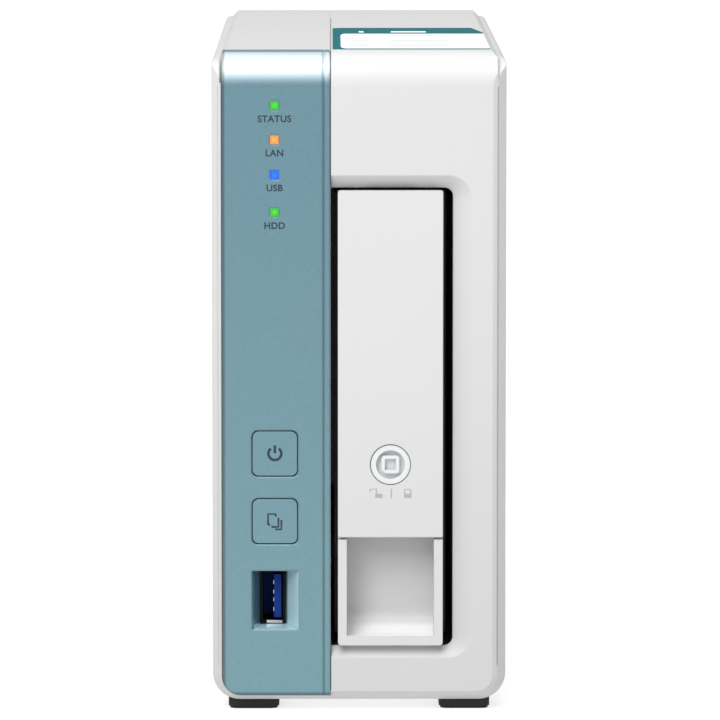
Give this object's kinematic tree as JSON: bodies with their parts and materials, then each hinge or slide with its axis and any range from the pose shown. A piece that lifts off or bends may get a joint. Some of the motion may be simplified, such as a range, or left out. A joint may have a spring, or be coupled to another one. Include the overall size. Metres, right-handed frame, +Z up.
{
  "type": "nas enclosure",
  "caption": "Upright network storage enclosure with a lockable hot-swap drive tray, teal status panel with buttons and lights, ports and a rear fan.",
  "frame": {"origin": "middle of the footprint, on the surface that the rubber feet stand on", "axes": "+Z up, front with the drive tray faces -Y, +X to the right as seen from the front"},
  "size_m": [0.075, 0.219, 0.1691],
  "materials": {
    "white_shell": "fine satin texture",
    "white_tray": "satin",
    "teal_panel": "metallic satin",
    "teal_label": "matt print",
    "black_rubber": "matt",
    "green_lens": "translucent",
    "amber_lens": "translucent",
    "blue_lens": "translucent",
    "circuit_board": "solder mask",
    "led_chip": "moulded",
    "black_plastic": "fine texture",
    "port_steel": "plated",
    "port_blue": "moulded",
    "gold_contact": "plated",
    "black_steel": "matt coat",
    "screw_steel": "zinc plated",
    "standoff_brass": "turned",
    "chip_black": "moulded",
    "heatsink_aluminium": "anodised",
    "capacitor_can": "drawn",
    "inductor_grey": "pressed powder",
    "cell_steel": "stamped",
    "rear_steel": "fine powder coat",
    "fan_plastic": "moulded",
    "ribbon_white": "film",
    "grey_plunger": "moulded",
    "lock_silver": "satin"
  },
  "bodies": {
    "casing": {"left_shell": "white_shell", "right_shell": "white_shell", "front_panel": "teal_panel", "top_label": "teal_label", "rubber_feet": "black_rubber", "lens_status": "green_lens", "lens_network": "amber_lens", "lens_port": "blue_lens", "lens_drive": "green_lens", "panel_board": "circuit_board", "panel_screws": "screw_steel", "indicator_leds": "led_chip", "switch_bodies": "black_plastic", "front_port_shell": "port_steel", "front_port_tongue": "port_blue", "front_port_contacts": "gold_contact", "drive_cage": "black_steel", "upper_rail": "black_plastic", "lower_rail": "black_plastic", "cage_screws": "screw_steel", "main_board": "circuit_board", "board_standoffs": "standoff_brass", "board_screws": "screw_steel", "processor": "chip_black", "heatsink": "heatsink_aluminium", "memory_chips": "chip_black", "small_chips": "chip_black", "capacitors": "capacitor_can", "inductors": "inductor_grey", "cell_holder": "black_plastic", "coin_cell": "cell_steel", "network_port": "port_steel", "network_contacts": "gold_contact", "rear_port_shell": "port_steel", "rear_port_tongues": "port_blue", "power_jack": "black_plastic", "jack_pin": "port_steel", "reset_switch": "black_plastic", "riser_slot": "black_plastic", "backplane_board": "circuit_board", "drive_connector": "black_plastic", "rear_panel": "rear_steel", "rear_screws": "screw_steel", "fan_frame": "fan_plastic", "fan_screws": "screw_steel", "fan_cable": "black_plastic", "ribbon_cable": "ribbon_white"},
    "power_key": {"power_button": "teal_panel", "power_plunger": "black_plastic"},
    "copy_key": {"copy_button": "teal_panel", "copy_plunger": "black_plastic"},
    "reset_key": {"reset_plunger": "grey_plunger"},
    "rotor": {"fan_rotor": "fan_plastic"},
    "tray": {"tray_carrier": "black_steel", "tray_bezel": "white_tray", "tray_screws": "screw_steel", "lever_pin": "screw_steel"},
    "lever": {"tray_lever": "white_tray"},
    "lock": {"lock_core": "lock_silver", "lock_cam": "screw_steel"}
  },
  "joints": [
    {"name": "tray_slide", "type": "slide", "parent": "casing", "child": "tray", "axis": [0, -1, 0], "range_m": [0, 0.165]},
    {"name": "lever_hinge", "type": "hinge", "parent": "tray", "child": "lever", "pos_m": [0.008, -0.1064, 0.132], "axis": [-1, 0, 0], "range_deg": [0, 40]},
    {"name": "lock_turn", "type": "hinge", "parent": "lever", "child": "lock", "pos_m": [0.008, -0.109, 0.0636], "axis": [0, -1, 0], "range_deg": [0, 90]},
    {"name": "power_press", "type": "slide", "parent": "casing", "child": "power_key", "axis": [0, 1, 0], "range_m": [0, 0.0005], "stiffness_N_per_m": 600, "springref_m": -0.0005},
    {"name": "copy_press", "type": "slide", "parent": "casing", "child": "copy_key", "axis": [0, 1, 0], "range_m": [0, 0.0005], "stiffness_N_per_m": 600, "springref_m": -0.0005},
    {"name": "reset_press", "type": "slide", "parent": "casing", "child": "reset_key", "axis": [0, -1, 0], "range_m": [0, 0.0004], "stiffness_N_per_m": 400, "springref_m": -0.0005},
    {"name": "fan_spin", "type": "hinge", "parent": "casing", "child": "rotor", "pos_m": [0, 0.098, 0.128], "axis": [0, 1, 0], "continuous": true}
  ]
}
